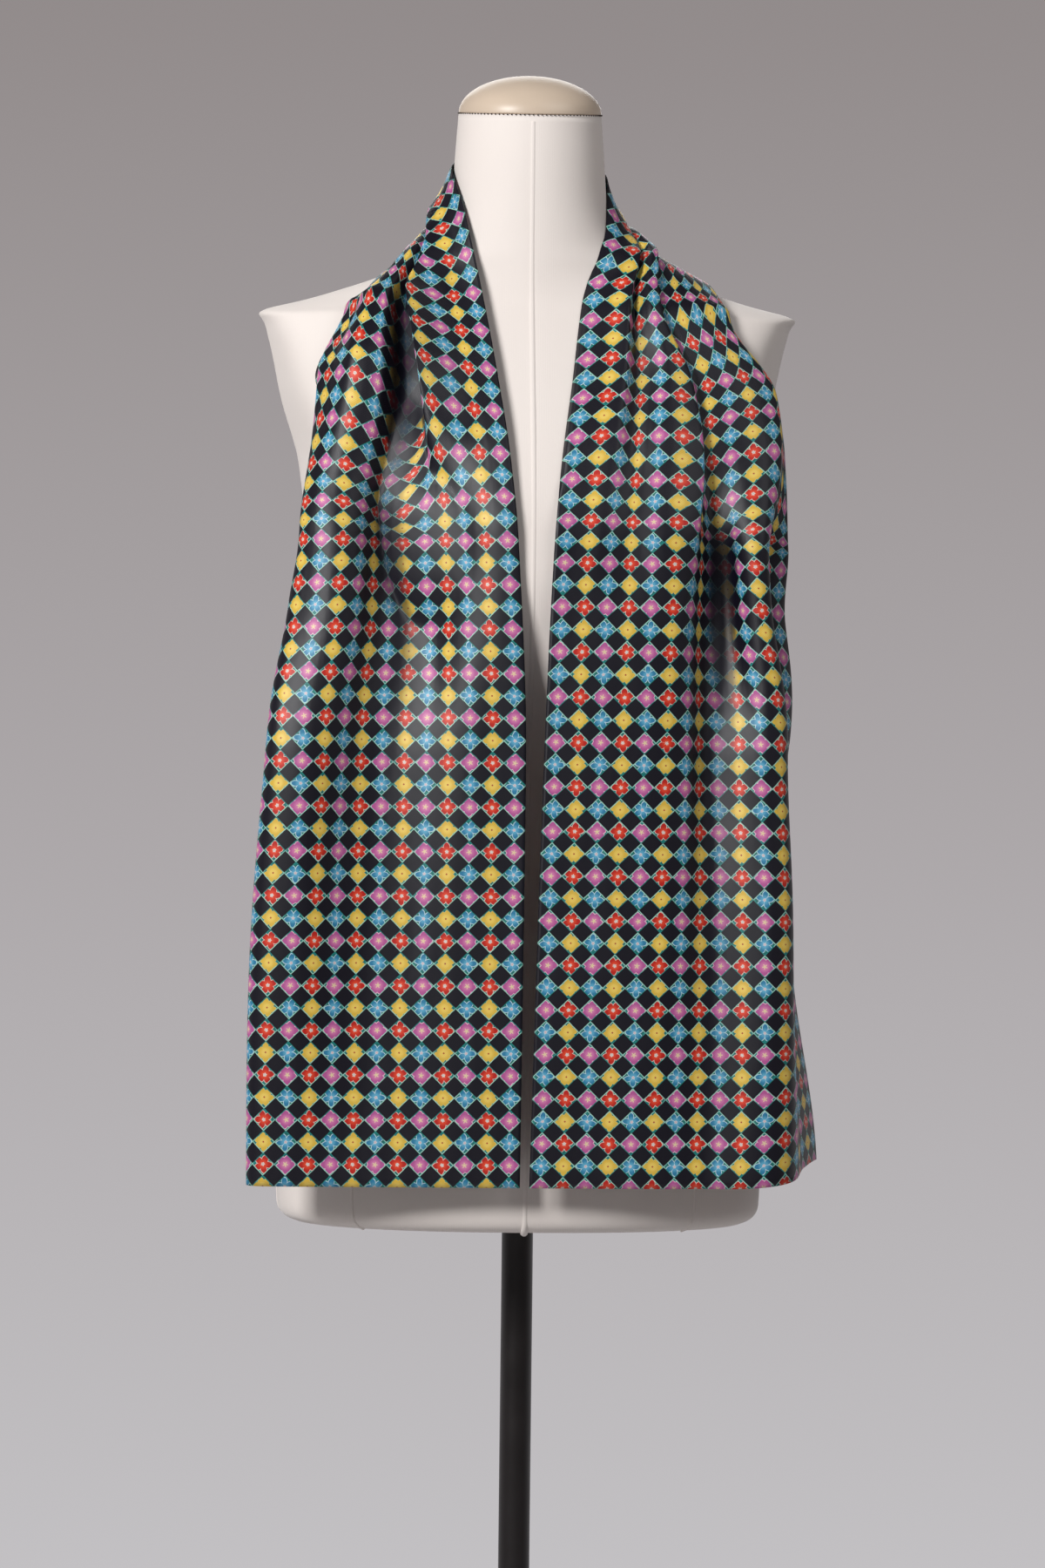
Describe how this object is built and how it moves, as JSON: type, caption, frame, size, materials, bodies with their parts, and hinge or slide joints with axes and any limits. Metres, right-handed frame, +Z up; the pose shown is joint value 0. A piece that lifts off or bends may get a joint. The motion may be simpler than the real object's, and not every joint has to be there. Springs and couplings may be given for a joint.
{
  "type": "silk scarf on limbless dress form",
  "caption": "long printed silk scarf hung round the neck of a limbless dress form, its ends hanging down the front, on a pole with a round base plate",
  "frame": {"origin": "on the floor at the centre of the base plate's underside, under the pole", "axes": "+Z up, -Y is the front that the scarf's ends hang down, +X is the viewer's right when facing the front"},
  "size_m": [0.4028, 0.34, 1.6395],
  "materials": {
    "silk_print": "printed silk twill with a soft sheen",
    "form_jersey": "off-white knitted cover, matt",
    "neck_cap": "cream lacquer, soft gloss",
    "stand_paint": "dark brown-black paint, satin"
  },
  "bodies": {
    "root": {"scarf_left_front": "silk_print", "scarf_back_neck": "silk_print", "scarf_right_front": "silk_print", "form_body": "form_jersey", "form_neck_cap": "neck_cap", "stand_pole": "stand_paint", "stand_base": "stand_paint"}
  },
  "joints": []
}
